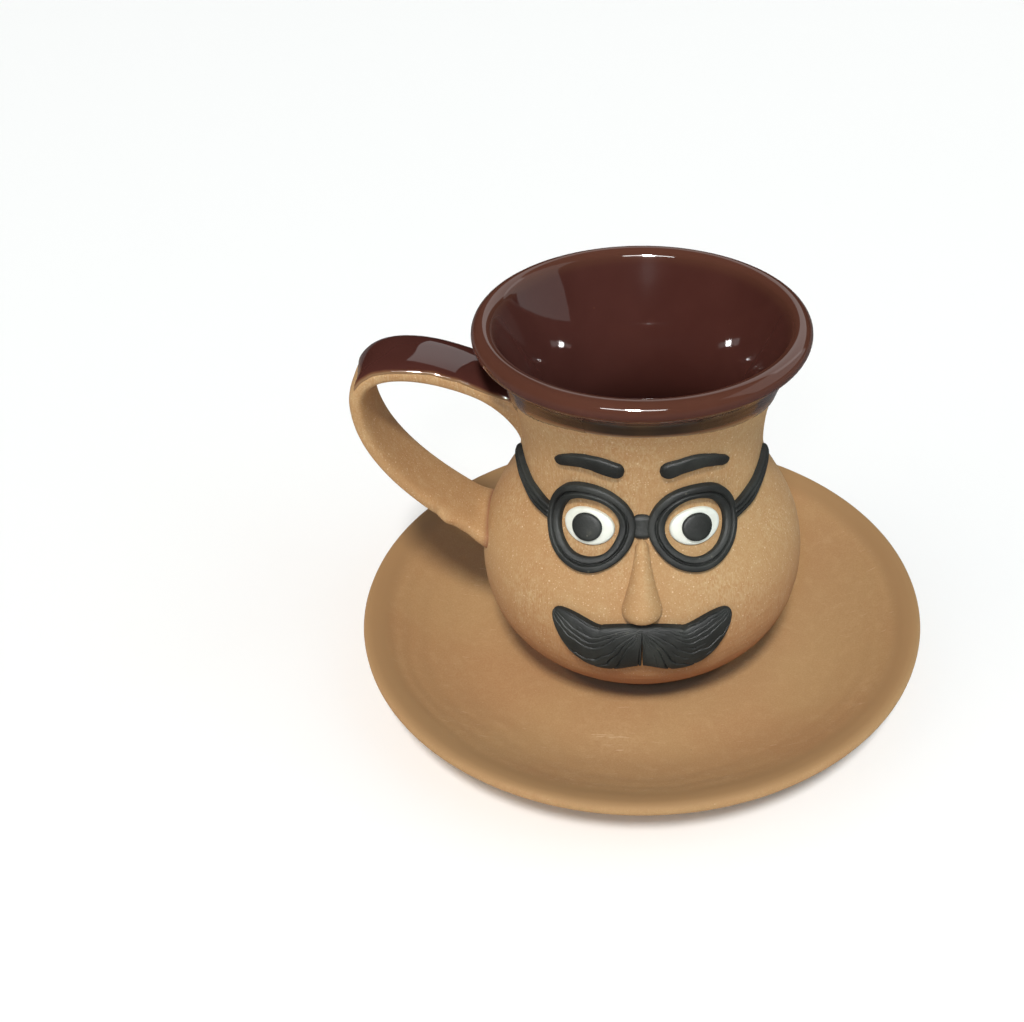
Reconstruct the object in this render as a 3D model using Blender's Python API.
"""Terracotta coffee cup with an applied face, standing on its saucer.

Metres, with +Z up. The origin is the centre of the saucer's foot, on the table. The face looks along -Y and
the handle reaches along -X. The cup, and all that is fixed to it, hangs from one empty on the axis along
which it lifts off the saucer, so heights on the cup are measured from the cup's own foot.
"""

import math

import bmesh
import bpy
import numpy as np

# Clearance between a piece and what it is fixed to or stands on
SEAT_GAP = 0.0003

# Saucer
SAUCER_DIAMETER = 0.1126
SAUCER_HEIGHT = 0.0136
SAUCER_WALL = 0.0034
SAUCER_FLAT_DIAMETER = 0.0640
SAUCER_RIM_SLOPE = 40.0
SAUCER_HOLLOW = 1.3
SAUCER_UPTURN = 0.9
SAUCER_FOOT_DIAMETER = 0.0740
SAUCER_FOOT_WIDTH = 0.0050
SAUCER_FOOT_HEIGHT = 0.0014

# Cup
CUP_HEIGHT = 0.0720
RIM_DIAMETER = 0.0600
NECK_DIAMETER = 0.0450
NECK_HEIGHT = 0.0486
BELLY_DIAMETER = 0.0624
BELLY_HEIGHT = 0.0218
FOOT_DIAMETER = 0.0373
FOOT_WIDTH = 0.0045
FOOT_RECESS = 0.0010
FOOT_CHAMFER = 0.0005
LIP_THICKNESS = 0.0040
WALL = 0.0034
FLOOR = 0.0050

# How full the cup's curves are, as shares of the heights or widths that they span
FOOT_SPREAD = 0.72
FOOT_RISE = 0.96
BASE_FULLNESS = 1.76
BELLY_FULLNESS = 1.47
NECK_FULLNESS = 1.14
NECK_HOLLOW = 1.5
FLARE_SPREAD = 0.3
FLARE_RISE = 0.9
BOWL_FULLNESS = 1.5

# Angles about the middle of the lip at which the two sides of the wall run into it
LIP_OUTER_JOIN = math.radians(245)
LIP_INNER_JOIN = math.radians(155)

# Glaze
GLAZE = 0.0004
GLAZE_BAND = 0.0097

# Handle
HANDLE_TOP_WIDTH = 0.0125
HANDLE_LOW_WIDTH = 0.0147
HANDLE_THICKNESS = 0.0034
HANDLE_REACH = 0.0527
HANDLE_REACH_BELOW_RIM = 0.0156
HANDLE_CREST_BELOW_RIM = 0.0087
HANDLE_CREST_REACH = 0.0428
HANDLE_TOP_BELOW_RIM = 0.0167
HANDLE_TOP_RISE = 27.0
HANDLE_LOW_HEIGHT = 0.0266
HANDLE_LOW_DROP = 34.0
HANDLE_ROOT_DEPTH = 0.0025
HANDLE_FLARE_LENGTH = 0.0100
HANDLE_FLARE = 0.25
HANDLE_BEND_FULLNESS = 1.35
HANDLE_TAIL_FULLNESS = 0.99
HANDLE_GLAZE_PAST_CREST = 0.0095

# Face, with the cup taken as a head: eye line half way from chin to crown, five eyes across its width, nose
# ending half way from the eye line to the chin
FACES = -math.pi / 2
CHIN_HEIGHT = 0.0130
EYES_ACROSS = 5
EYE_HEIGHT = 0.0068
EYE_THICKNESS = 0.0008
IRIS_DIAMETER = 0.0054
IRIS_THICKNESS = 0.0006
BROW_LENGTH = 0.0135
BROW_WIDTH = 0.0034
BROW_THICKNESS = 0.0012
BROW_ARCH = 0.0018
BROW_FALL = 0.0012
BROW_GAP = 0.0010
NOSE_WIDTH = 0.0082
NOSE_DEPTH = 0.0048
MOUSTACHE_SPAN = 0.0330
MOUSTACHE_WIDTH = 0.0096
MOUSTACHE_THICKNESS = 0.0022
MOUSTACHE_SAG = 0.0014
MOUSTACHE_LIFT = 0.0046

# Spectacles of clay coil round the eyes
COIL_WIDTH = 0.0028
COIL_THICKNESS = 0.0011
COIL_GROOVE_WIDTH = 0.0009
COIL_GROOVE_DEPTH = 0.0005
BRIDGE_WIDTH = 0.0022
BRIDGE_HEIGHT = 0.0046
BRIDGE_BELOW = 0.28
TEMPLE_LENGTH = 0.0155
TEMPLE_RISE = 0.0050
TEMPLE_TAPER = 0.25

# How square the backs of the applied clay strips are: 1 is round, towards 0 is flat
CROWN_ROUNDNESS = 0.45

# Fineness of the turned and formed surfaces
CUP_SEGMENTS = 40
SAUCER_SEGMENTS = 44
WALL_STEPS = 40
OUTER_STRIDE = 5
INNER_STRIDE = 8

TERRACOTTA = (0.46, 0.24, 0.12)
SAUCER_CLAY = (0.43, 0.22, 0.115)
BROWN_GLAZE = (0.075, 0.016, 0.013)
BLACK_CLAY = (0.020, 0.021, 0.020)
EYE_WHITE = (0.78, 0.77, 0.70)


def clear_scene():
    """Remove every object that the file holds."""
    for obj in list(bpy.data.objects):
        bpy.data.objects.remove(obj, do_unlink=True)


def fired(name, colour, roughness):
    """Principled material of one fired surface."""
    material = bpy.data.materials.new(name)
    material.use_nodes = True
    shader = material.node_tree.nodes["Principled BSDF"]
    shader.inputs["Base Color"].default_value = (*colour, 1.0)
    shader.inputs["Roughness"].default_value = roughness
    shader.inputs["Metallic"].default_value = 0.0
    return material


def placed(name, mesh, material, parent=None):
    """Object that holds the mesh, in the scene, with its material and its parent."""
    mesh.materials.append(material)
    mesh.shade_smooth()
    obj = bpy.data.objects.new(name, mesh)
    bpy.context.scene.collection.objects.link(obj)
    obj.parent = parent
    return obj


def cubic(start, leave, end, arrive, steps):
    """Points of the cubic from start to end that leaves and arrives along the two given slopes."""
    t = np.linspace(0.0, 1.0, steps + 1)[:, None]
    start, leave, end, arrive = (np.array(value, float) for value in (start, leave, end, arrive))
    from_start = (2 * t**3 - 3 * t**2 + 1) * start + (t**3 - 2 * t**2 + t) * leave
    to_end = (3 * t**2 - 2 * t**3) * end + (t**3 - t**2) * arrive
    return from_start + to_end


def arc(centre, radius, first, last, steps):
    """Points of a circle from one angle to another, in degrees."""
    angles = np.radians(np.linspace(first, last, steps + 1))
    return np.array(centre) + radius * np.column_stack([np.cos(angles), np.sin(angles)])


def run_lengths(points):
    """Distance along a line of points from the first of them to each."""
    steps = np.linalg.norm(np.diff(points, axis=0), axis=1)
    return np.concatenate([[0.0], np.cumsum(steps)])


def shifted(points, distance):
    """A profile moved by a distance to the right of the way it runs."""
    along = np.gradient(points, axis=0)
    along /= np.linalg.norm(along, axis=1)[:, None]
    return points + distance * np.column_stack([along[:, 1], -along[:, 0]])


def between(wall, low, high, steps):
    """The stretch of a rising wall profile between two heights, in even steps of height."""
    heights = np.linspace(low, high, steps + 1)
    return np.column_stack([np.interp(heights, wall[:, 1], wall[:, 0]), heights])


def turned(name, profile, segments, material, parent=None):
    """Solid turned about the Z axis from a profile of (radius, height) points that runs axis to axis."""
    mesh = bpy.data.meshes.new(name)
    points = [(radius, 0.0, height) for radius, height in profile]
    mesh.from_pydata(points, [(i, i + 1) for i in range(len(points) - 1)], [])
    obj = placed(name, mesh, material, parent)
    screw = obj.modifiers.new("turning", "SCREW")
    screw.axis = "Z"
    screw.angle = 2 * math.pi
    screw.steps = segments
    screw.render_steps = segments
    screw.use_merge_vertices = True
    screw.merge_threshold = 0.00001
    screw.use_smooth_shade = True
    return obj


def lofted(name, rings, material, parent, closed=False):
    """Solid through rings of points, joined end to end or capped at both ends."""
    shape = bmesh.new()
    loops = [[shape.verts.new(point) for point in ring] for ring in rings]
    followers = loops[1:] + (loops[:1] if closed else [])
    for loop, follower in zip(loops, followers):
        for i in range(len(loop)):
            j = (i + 1) % len(loop)
            shape.faces.new((loop[i], loop[j], follower[j], follower[i]))
    if not closed:
        shape.faces.new(loops[0])
        shape.faces.new(loops[-1])
    bmesh.ops.recalc_face_normals(shape, faces=shape.faces)
    mesh = bpy.data.meshes.new(name)
    shape.to_mesh(mesh)
    shape.free()
    return placed(name, mesh, material, parent)


def make_saucer(material):
    """Dish of even wall that rises to a rounded rim, on a low turned foot ring."""
    half = SAUCER_WALL / 2
    floor = SAUCER_FOOT_HEIGHT + SAUCER_WALL
    flat = SAUCER_FLAT_DIAMETER / 2
    rim = np.array([SAUCER_DIAMETER / 2 - half, SAUCER_HEIGHT - half])
    slope = math.radians(SAUCER_RIM_SLOPE)
    rise = np.array([math.cos(slope), math.sin(slope)])
    rim_inside = rim + half * np.array([-rise[1], rise[0]])
    run = rim_inside[0] - flat
    dish = cubic((flat, floor), (SAUCER_HOLLOW * run, 0.0), rim_inside, SAUCER_UPTURN * run * rise, 10)
    rim_round = arc(rim, half, SAUCER_RIM_SLOPE + 90.0, SAUCER_RIM_SLOPE - 90.0, 6)
    foot_outside = SAUCER_FOOT_DIAMETER / 2
    foot_inside = foot_outside - SAUCER_FOOT_WIDTH
    underside = shifted(dish, SAUCER_WALL)[::-1]
    underside = underside[underside[:, 0] > foot_outside + SAUCER_FOOT_HEIGHT]
    foot = [
        (foot_outside, SAUCER_FOOT_HEIGHT / 2),
        (foot_outside - SAUCER_FOOT_HEIGHT / 2, 0.0),
        (foot_inside, 0.0),
        (foot_inside - SAUCER_FOOT_HEIGHT, SAUCER_FOOT_HEIGHT),
        (0.0, SAUCER_FOOT_HEIGHT),
    ]
    profile = np.vstack([[(0.0, floor)], dish, rim_round[1:-1], underside, foot])
    return turned("saucer", profile, SAUCER_SEGMENTS, material)


class CupWall:
    """The cup's clay wall: its outer and inner profiles, and places on its outer side."""

    def __init__(self):
        lip_round = LIP_THICKNESS / 2
        self.core = lip_round - GLAZE - SEAT_GAP
        self.lip = np.array([RIM_DIAMETER / 2 - lip_round, CUP_HEIGHT - lip_round])
        self.outer = self._outer()
        self.inner = self._inner()
        self.along = run_lengths(self.outer)
        slope = np.gradient(self.outer, self.along, axis=0)
        self.normal = np.column_stack([slope[:, 1], -slope[:, 0]])

    def _outer(self):
        """From the foot's edge, out over the belly, in to the neck and out to the lip."""
        shoulder = NECK_HEIGHT - BELLY_HEIGHT
        foot = (FOOT_DIAMETER / 2, FOOT_CHAMFER)
        belly = (BELLY_DIAMETER / 2, BELLY_HEIGHT)
        neck = (NECK_DIAMETER / 2, NECK_HEIGHT)
        top = self.lip + self.core * np.array([math.cos(LIP_OUTER_JOIN), math.sin(LIP_OUTER_JOIN)])
        flare = top[1] - NECK_HEIGHT
        at_foot = (FOOT_SPREAD * BELLY_HEIGHT, FOOT_RISE * BELLY_HEIGHT)
        lower = cubic(foot, at_foot, belly, (0.0, BASE_FULLNESS * BELLY_HEIGHT), WALL_STEPS)
        at_belly = (0.0, BELLY_FULLNESS * shoulder)
        at_neck = (0.0, NECK_FULLNESS * shoulder)
        middle = cubic(belly, at_belly, neck, at_neck, WALL_STEPS)
        at_lip = (FLARE_SPREAD * flare, FLARE_RISE * flare)
        upper = cubic(neck, (0.0, NECK_HOLLOW * flare), top, at_lip, WALL_STEPS)
        return np.vstack([lower, middle[1:], upper[1:]])

    def _inner(self):
        """From the middle of the floor, up the wall and into the round of the lip."""
        belly = (BELLY_DIAMETER / 2 - WALL, BELLY_HEIGHT)
        neck = (NECK_DIAMETER / 2 - WALL, NECK_HEIGHT)
        shoulder = NECK_HEIGHT - BELLY_HEIGHT
        depth = BELLY_HEIGHT - FLOOR
        toward = np.array([math.cos(LIP_INNER_JOIN), math.sin(LIP_INNER_JOIN)])
        top = self.lip + self.core * toward
        rise = np.array([toward[1], -toward[0]])
        flare = top[1] - NECK_HEIGHT
        bowl = (BOWL_FULLNESS * belly[0], 0.0)
        lower = cubic((0.0, FLOOR), bowl, belly, (0.0, BOWL_FULLNESS * depth), WALL_STEPS)
        at_belly = (0.0, BELLY_FULLNESS * shoulder)
        at_neck = (0.0, NECK_FULLNESS * shoulder)
        middle = cubic(belly, at_belly, neck, at_neck, WALL_STEPS)
        upper = cubic(neck, (0.0, NECK_FULLNESS * flare), top, flare * rise, WALL_STEPS)
        return np.vstack([lower, middle[1:], upper[1:]])

    def along_at(self, height):
        """Distance along the outer profile, from the foot, to a height."""
        return float(np.interp(height, self.outer[:, 1], self.along))

    def radius_at(self, height):
        """Outer radius at a height."""
        return float(np.interp(height, self.outer[:, 1], self.outer[:, 0]))

    def point(self, angle, along, lift):
        """Point at an angle about the axis, a distance along the profile and a lift off the clay."""
        raised = self.outer + lift * self.normal
        radius = np.interp(along, self.along, raised[:, 0])
        height = np.interp(along, self.along, raised[:, 1])
        return (radius * math.cos(angle), radius * math.sin(angle), float(height))

    def point_beside(self, angle, along, across, lift):
        """Point of the wall a distance across from a meridian, along the curve of the wall."""
        radius = np.interp(along, self.along, self.outer[:, 0])
        return self.point(angle + across / radius, along, lift)


def over_lip(inner, outer, centre, radius, steps):
    """Profile that climbs the inner side, goes round the lip and runs down the outer side."""
    fall = outer[np.linalg.norm(outer - centre, axis=1) > 1.05 * radius][::-1]
    first = math.degrees(math.atan2(inner[-1][1] - centre[1], inner[-1][0] - centre[0])) % 360
    last = math.degrees(math.atan2(fall[0][1] - centre[1], fall[0][0] - centre[0]))
    return np.vstack([inner[:-1], arc(centre, radius, first, last, steps), fall])


def inner_stretch(wall, distance):
    """The inner profile moved off the clay by a distance, with the points that its curves need."""
    return shifted(wall.inner, -distance)[::INNER_STRIDE]


def make_cup_body(wall, material, parent):
    """Thrown body with an even wall, a thickened lip core and a turned foot ring."""
    outer = wall.outer[::OUTER_STRIDE]
    sides = over_lip(inner_stretch(wall, 0.0), outer, wall.lip, wall.core, 5)
    foot_inside = FOOT_DIAMETER / 2 - FOOT_WIDTH
    foot = [
        (FOOT_DIAMETER / 2 - FOOT_CHAMFER, 0.0),
        (foot_inside, 0.0),
        (foot_inside - FOOT_RECESS, FOOT_RECESS),
        (0.0, FOOT_RECESS),
    ]
    return turned("cup_body", np.vstack([sides, foot]), CUP_SEGMENTS, material, parent)


def make_glaze_lining(wall, material, parent):
    """Skin of glaze over the floor, the inner wall and the lip, ending in a band under the lip."""
    face = SEAT_GAP + GLAZE
    band = between(wall.outer, CUP_HEIGHT - GLAZE_BAND, wall.outer[-1][1], 4)
    seen = over_lip(inner_stretch(wall, face), shifted(band, face), wall.lip, LIP_THICKNESS / 2, 8)
    under = over_lip(
        inner_stretch(wall, SEAT_GAP), shifted(band, SEAT_GAP), wall.lip, wall.core + SEAT_GAP, 5
    )
    for side in (seen, under):
        # The middle of the floor stays on the axis
        side[0][0] = 0.0
    return turned("glaze_lining", np.vstack([seen, under[::-1]]), CUP_SEGMENTS, material, parent)


def handle_spine(wall):
    """Middle line of the strap as (x, z): out of the neck, over the crest, round and back to the belly."""
    top_height = CUP_HEIGHT - HANDLE_TOP_BELOW_RIM
    top = np.array([HANDLE_ROOT_DEPTH - wall.radius_at(top_height), top_height])
    crest = np.array([-HANDLE_CREST_REACH, CUP_HEIGHT - HANDLE_CREST_BELOW_RIM])
    far = np.array([HANDLE_THICKNESS / 2 - HANDLE_REACH, CUP_HEIGHT - HANDLE_REACH_BELOW_RIM])
    low = np.array([HANDLE_ROOT_DEPTH - wall.radius_at(HANDLE_LOW_HEIGHT), HANDLE_LOW_HEIGHT])
    rise = math.radians(HANDLE_TOP_RISE)
    drop = math.radians(HANDLE_LOW_DROP)
    arm = np.linalg.norm(crest - top)
    bend = np.linalg.norm(far - crest)
    tail = np.linalg.norm(low - far)
    upper = cubic(top, (-arm * math.cos(rise), arm * math.sin(rise)), crest, (-arm, 0.0), 8)
    round_bend = HANDLE_BEND_FULLNESS * bend
    turn = cubic(crest, (-round_bend, 0.0), far, (0.0, -round_bend), 7)
    at_belly = (tail * math.cos(drop), -tail * math.sin(drop))
    lower = cubic(far, (0.0, -HANDLE_TAIL_FULLNESS * tail), low, at_belly, 9)
    return np.vstack([upper, turn[1:], lower[1:]]), len(upper)


def strap_frames(spine):
    """Each spine point with the way out of the loop there and the strap's half width and half thickness."""
    along = np.gradient(spine, axis=0)
    along /= np.linalg.norm(along, axis=1)[:, None]
    outward = np.column_stack([along[:, 1], -along[:, 0]])
    length = run_lengths(spine)
    to_root = np.minimum(length, length[-1] - length)
    flare = 1.0 + HANDLE_FLARE * np.clip(1.0 - to_root / HANDLE_FLARE_LENGTH, 0.0, 1.0) ** 2
    width = np.interp(length, (0.0, length[-1]), (HANDLE_TOP_WIDTH, HANDLE_LOW_WIDTH))
    return list(zip(spine, outward, flare * width / 2, flare * HANDLE_THICKNESS / 2))


def strap_section(point, outward, half_width, half_thickness, angles):
    """Points of a soft-edged strap section, at angles from its -Y edge over its outer face."""
    softness = 2.0 / 3.0
    ring = []
    for angle in angles:
        cosine, sine = math.cos(angle), math.sin(angle)
        across = -half_width * math.copysign(abs(cosine) ** softness, cosine)
        proud = half_thickness * math.copysign(abs(sine) ** softness, sine)
        ring.append((point[0] + proud * outward[0], across, point[1] + proud * outward[1]))
    return ring


def make_wall_cutter(wall, material, parent):
    """Hidden solid of the cup's outer side with its glaze band, grown by the seating gap."""
    edge = CUP_HEIGHT - GLAZE_BAND - SEAT_GAP
    clay = shifted(between(wall.outer, FOOT_CHAMFER, edge, 40), SEAT_GAP)
    band = shifted(between(wall.outer, edge, wall.outer[-1][1], 4), GLAZE + 2 * SEAT_GAP)
    profile = np.vstack([[(0.0, band[-1][1])], band[::-1], clay[::-1], [(0.0, clay[0][1])]])
    cutter = turned("wall_cutter", profile, 2 * CUP_SEGMENTS, material, parent)
    cutter.hide_render = True
    cutter.display_type = "WIRE"
    return cutter


def seat_on_wall(obj, cutter):
    """Trim a piece back to the cup's outer side."""
    trim = obj.modifiers.new("seat", "BOOLEAN")
    trim.operation = "DIFFERENCE"
    trim.solver = "EXACT"
    trim.object = cutter


def make_handle(wall, cutter, material, parent):
    """Pulled strap handle whose ends flare and sit on the neck and the belly."""
    spine, _ = handle_spine(wall)
    angles = np.linspace(0.0, 2 * math.pi, 14, endpoint=False)
    rings = []
    for point, outward, half_width, half_thickness in strap_frames(spine):
        rings.append(strap_section(point, outward, half_width, half_thickness, angles))
    handle = lofted("handle", rings, material, parent)
    seat_on_wall(handle, cutter)
    return handle


def make_handle_glaze(wall, cutter, material, parent):
    """Skin of glaze on the outer face of the handle's upper arm, from the neck over the crest."""
    spine, upper_count = handle_spine(wall)
    length = run_lengths(spine)
    glazed = np.count_nonzero(length <= length[upper_count - 1] + HANDLE_GLAZE_PAST_CREST)
    angles = np.linspace(math.radians(20), math.radians(160), 7)
    face = SEAT_GAP + GLAZE
    gap = SEAT_GAP
    rings = []
    for point, outward, half_width, half_thickness in strap_frames(spine)[:glazed]:
        seen = strap_section(point, outward, half_width + face, half_thickness + face, angles)
        under = strap_section(point, outward, half_width + gap, half_thickness + gap, angles)
        rings.append(seen + under[::-1])
    skin = lofted("handle_glaze", rings, material, parent)
    seat_on_wall(skin, cutter)
    return skin


class Face:
    """Places on the cup's wall, counted across and up from the middle of the eye line."""

    def __init__(self, wall):
        self.wall = wall
        self.eye_height = (CUP_HEIGHT + CHIN_HEIGHT) / 2
        self.eye_along = wall.along_at(self.eye_height)
        self.eye_radius = wall.radius_at(self.eye_height)
        self.eye_width = 2 * self.eye_radius / EYES_ACROSS
        self.nose_length = self.eye_along - wall.along_at((self.eye_height + CHIN_HEIGHT) / 2)
        self.ring_outside = self.eye_width - BRIDGE_WIDTH / 2
        self.ring = self.ring_outside - COIL_WIDTH / 2

    def middle(self, across, up, lift):
        """Point counted from the face's middle line."""
        return self.wall.point_beside(FACES, self.eye_along + up, across, lift)

    def eye_offset(self, up):
        """Distance round the wall from the face's middle line to the meridian of an eye."""
        radius = np.interp(self.eye_along + up, self.wall.along, self.wall.outer[:, 0])
        return self.eye_width * radius / self.eye_radius

    def eye(self, side, across, up, lift):
        """Point counted from the middle of an eye, with across running away from the nose."""
        meridian = FACES + side * self.eye_width / self.eye_radius
        return self.wall.point_beside(meridian, self.eye_along + up, side * across, lift)


def round_crown():
    """Section of a strip with a soft-edged back, as shares of its half width and of its thickness."""
    angles = np.linspace(0.0, math.pi, 7)
    return [(math.cos(angle), math.sin(angle) ** CROWN_ROUNDNESS) for angle in angles]


def grooved_crown():
    """Section of the spectacles' coil: a soft-edged back with a groove pressed along its middle."""
    edge = COIL_GROOVE_WIDTH / COIL_WIDTH
    groove = [(edge, 1.0), (0.0, 1.0 - COIL_GROOVE_DEPTH / COIL_THICKNESS), (-edge, 1.0)]
    crown = round_crown()
    middle = len(crown) // 2
    return crown[:middle] + groove + crown[middle + 1 :]


def pressed_strip(name, place, spine, half_widths, thicknesses, crown, material, parent, closed=False):
    """Clay strip of a crowned section pressed on the wall along a spine of (across, up) points."""
    spine = np.array(spine)
    if closed:
        along = np.roll(spine, -1, axis=0) - np.roll(spine, 1, axis=0)
    else:
        along = np.gradient(spine, axis=0)
    along /= np.linalg.norm(along, axis=1)[:, None]
    sideways = np.column_stack([-along[:, 1], along[:, 0]])
    sole = [(0.0, 0.0)]
    rings = []
    for point, side, half_width, thickness in zip(spine, sideways, half_widths, thicknesses):
        ring = []
        for across, lift in crown + sole:
            spot = point + across * half_width * side
            ring.append(place(spot[0], spot[1], SEAT_GAP + lift * thickness))
        rings.append(ring)
    return lofted(name, rings, material, parent, closed)


def rounded_ends(count, reach):
    """Share of the full width at even steps along a strip whose ends are round over a share of its length."""
    t = np.linspace(0.0, 1.0, count)
    to_end = np.clip(np.minimum(t, 1.0 - t) / reach, 0.02, 1.0)
    return np.sqrt(1.0 - (1.0 - to_end) ** 2)


def pressed_button(name, place, half_width, half_height, thickness, seat, material, parent):
    """Low domed oval pressed on the wall, its rim square to the wall and its crown round."""
    shape = bmesh.new()
    angles = np.linspace(0.0, 2 * math.pi, 20, endpoint=False)
    levels = [(0.5, 0.0), (1.0, 0.0), (1.0, 0.45), (0.86, 0.8), (0.5, 0.97)]
    loops = []
    for share, level in levels:
        loop = []
        for angle in angles:
            across = share * half_width * math.cos(angle)
            up = share * half_height * math.sin(angle)
            loop.append(shape.verts.new(place(across, up, seat + level * thickness)))
        loops.append(loop)
    for loop, follower in zip(loops, loops[1:]):
        for i in range(len(loop)):
            j = (i + 1) % len(loop)
            shape.faces.new((loop[i], loop[j], follower[j], follower[i]))
    for loop, level in ((loops[0], 0.0), (loops[-1], 1.0)):
        middle = shape.verts.new(place(0.0, 0.0, seat + level * thickness))
        for i in range(len(loop)):
            shape.faces.new((loop[i], loop[(i + 1) % len(loop)], middle))
    bmesh.ops.recalc_face_normals(shape, faces=shape.faces)
    mesh = bpy.data.meshes.new(name)
    shape.to_mesh(mesh)
    shape.free()
    return placed(name, mesh, material, parent)


def make_eye(face, side, label, white, black, parent):
    """Low oval eye white with its iris in the middle, looking straight ahead."""

    def place(across, up, lift):
        return face.eye(side, across, up, lift)

    half_width = face.eye_width / 2
    pressed_button(
        "eye_white_" + label, place, half_width, EYE_HEIGHT / 2, EYE_THICKNESS, SEAT_GAP, white, parent
    )
    half_iris = IRIS_DIAMETER / 2
    seat = 2 * SEAT_GAP + EYE_THICKNESS
    pressed_button("iris_" + label, place, half_iris, half_iris, IRIS_THICKNESS, seat, black, parent)


def make_spectacle_side(face, side, label, material, parent):
    """Round rim of clay coil about one eye, and the temple that runs back from it."""

    def place(across, up, lift):
        return face.eye(side, across, up, lift)

    turns = np.linspace(0.0, 2 * math.pi, 28, endpoint=False)
    circle = face.ring * np.column_stack([np.cos(turns), np.sin(turns)])
    half_width = COIL_WIDTH / 2
    pressed_strip(
        "spectacle_rim_" + label,
        place,
        circle,
        [half_width] * len(circle),
        [COIL_THICKNESS] * len(circle),
        grooved_crown(),
        material,
        parent,
        closed=True,
    )
    count = 9
    start = (face.ring_outside + SEAT_GAP, 0.0)
    end = (start[0] + TEMPLE_LENGTH, TEMPLE_RISE)
    run = cubic(start, (TEMPLE_LENGTH, 0.2 * TEMPLE_RISE), end, (TEMPLE_LENGTH, 1.2 * TEMPLE_RISE), count - 1)
    share = rounded_ends(count, 0.15)
    share[0] = 1.0
    taper = 1.0 - TEMPLE_TAPER * np.linspace(0.0, 1.0, count) ** 2
    pressed_strip(
        "temple_" + label,
        place,
        run,
        half_width * share * taper,
        COIL_THICKNESS * share,
        grooved_crown(),
        material,
        parent,
    )


def make_spectacle_bridge(face, material, parent):
    """Saddle of clay in the notch between the two rims, its sides following their curves."""
    heights = BRIDGE_HEIGHT * np.linspace(1.0 - BRIDGE_BELOW, -BRIDGE_BELOW, 7)
    half_widths = face.eye_offset(heights) - np.sqrt(face.ring_outside**2 - heights**2) - SEAT_GAP
    spine = np.column_stack([np.zeros(len(heights)), heights])
    thicknesses = COIL_THICKNESS * rounded_ends(len(heights), 0.25)
    crown = round_crown()
    return pressed_strip(
        "spectacle_bridge", face.middle, spine, half_widths, thicknesses, crown, material, parent
    )


def make_brow(face, side, label, material, parent):
    """Smooth brow over one rim, gently arched, full near the nose and drawn out to the temple."""

    def place(across, up, lift):
        return face.eye(side, across, up, lift)

    count = 11
    t = np.linspace(0.0, 1.0, count)
    foot = face.ring_outside + BROW_GAP + BROW_FALL + BROW_WIDTH / 2
    across = BROW_LENGTH * (t - 0.46)
    up = foot + BROW_ARCH * np.sin(math.pi * t) ** 1.2 - BROW_FALL * t
    fullness = rounded_ends(count, 0.12) * (1.0 - 0.55 * t**2)
    pressed_strip(
        "brow_" + label,
        place,
        np.column_stack([across, up]),
        fullness * BROW_WIDTH / 2,
        fullness * BROW_THICKNESS,
        round_crown(),
        material,
        parent,
    )


def make_nose(face, material, parent):
    """Plain wedge nose that widens and stands out towards its round tip."""
    count = 12
    top = -BRIDGE_BELOW * BRIDGE_HEIGHT - 2 * SEAT_GAP
    t = np.linspace(0.0, 1.0, count)
    spine = np.column_stack([np.zeros(count), top + t * (-face.nose_length - top)])
    tip = np.sqrt(np.clip(1.0 - (np.clip(t - 0.78, 0.0, 1.0) / 0.225) ** 2, 0.0, 1.0))
    half_widths = NOSE_WIDTH / 2 * (0.24 + 0.76 * t**1.7) * (0.25 + 0.75 * tip)
    thicknesses = NOSE_DEPTH * (0.16 + 0.84 * t**1.4) * (0.12 + 0.88 * tip)
    crown = round_crown()
    return pressed_strip("nose", face.middle, spine, half_widths, thicknesses, crown, material, parent)


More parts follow.
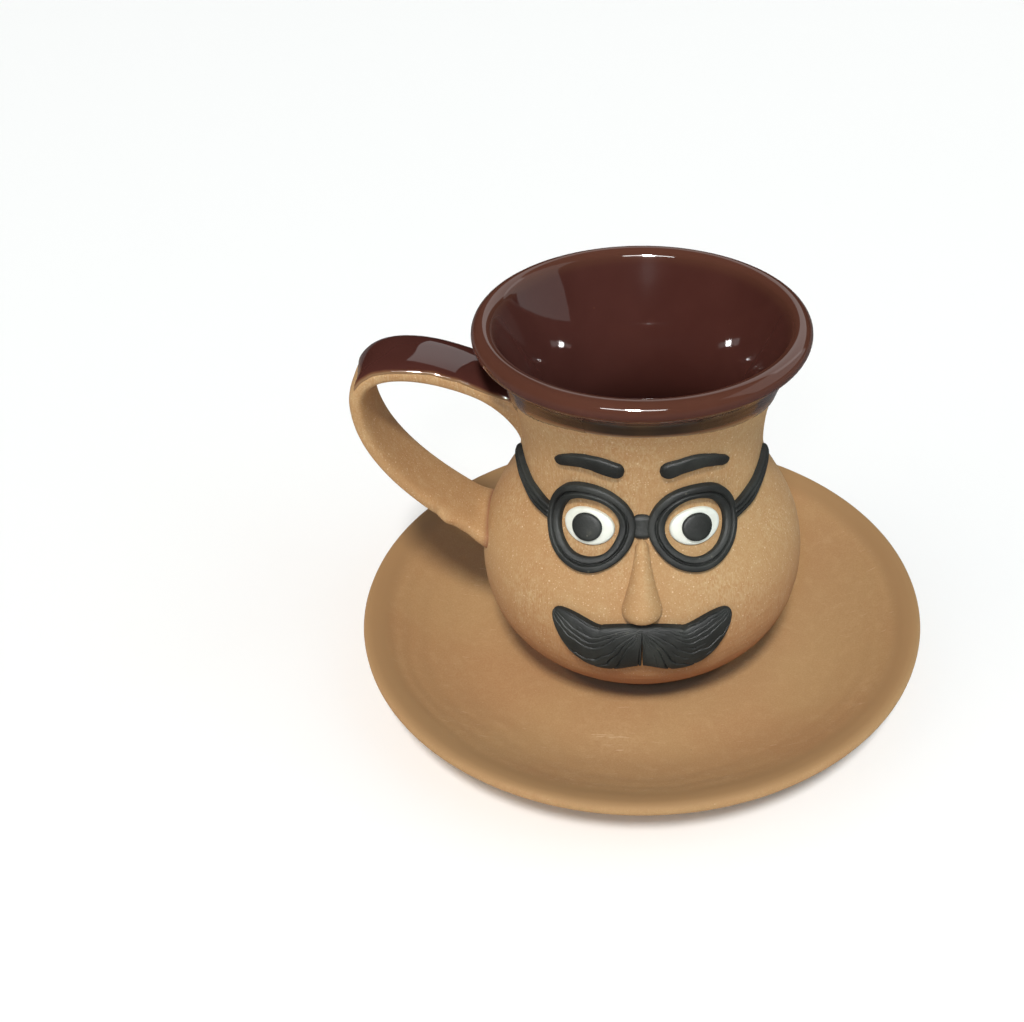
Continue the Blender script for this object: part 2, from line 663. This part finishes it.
def make_moustache_half(face, side, label, material, parent):
    """One half of a full moustache that swells out from under the nose and turns up to a round tip."""

    def place(across, up, lift):
        return face.middle(side * across, up, lift)

    count = 13
    t = np.linspace(0.0, 1.0, count)
    across = SEAT_GAP + t * (MOUSTACHE_SPAN / 2 - SEAT_GAP)
    parting = 0.86
    middle = -face.nose_length - 2 * SEAT_GAP - parting * MOUSTACHE_WIDTH / 2
    up = middle - MOUSTACHE_SAG * np.sin(math.pi * t) ** 3 + MOUSTACHE_LIFT * t**3
    swell = parting + (1.0 - parting) * np.sin(math.pi * t)
    fullness = swell * np.sqrt(np.clip(1.0 - t**3, 0.003, 1.0))
    pressed_strip(
        "moustache_" + label,
        place,
        np.column_stack([across, up]),
        fullness * MOUSTACHE_WIDTH / 2,
        fullness**0.7 * MOUSTACHE_THICKNESS,
        round_crown(),
        material,
        parent,
    )


def make_face(wall, clay, white, black, parent):
    """Every piece of the face, luted to the cup's wall."""
    face = Face(wall)
    make_nose(face, clay, parent)
    make_spectacle_bridge(face, black, parent)
    for label, side in (("left", -1), ("right", 1)):
        make_eye(face, side, label, white, black, parent)
        make_spectacle_side(face, side, label, black, parent)
        make_brow(face, side, label, black, parent)
        make_moustache_half(face, side, label, black, parent)


def main():
    """Build the saucer, the cup and all that is fixed to the cup."""
    clear_scene()
    terracotta = fired("terracotta", TERRACOTTA, 0.8)
    saucer_clay = fired("saucer_clay", SAUCER_CLAY, 0.75)
    brown_glaze = fired("brown_glaze", BROWN_GLAZE, 0.12)
    black_clay = fired("black_clay", BLACK_CLAY, 0.7)
    eye_white = fired("eye_white", EYE_WHITE, 0.45)

    make_saucer(saucer_clay)
    lift = bpy.data.objects.new("cup_lift", None)
    bpy.context.scene.collection.objects.link(lift)
    lift.location.z = SAUCER_FOOT_HEIGHT + SAUCER_WALL + SEAT_GAP

    wall = CupWall()
    make_cup_body(wall, terracotta, lift)
    make_glaze_lining(wall, brown_glaze, lift)
    cutter = make_wall_cutter(wall, terracotta, lift)
    make_handle(wall, cutter, terracotta, lift)
    make_handle_glaze(wall, cutter, brown_glaze, lift)
    make_face(wall, terracotta, eye_white, black_clay, lift)


main()
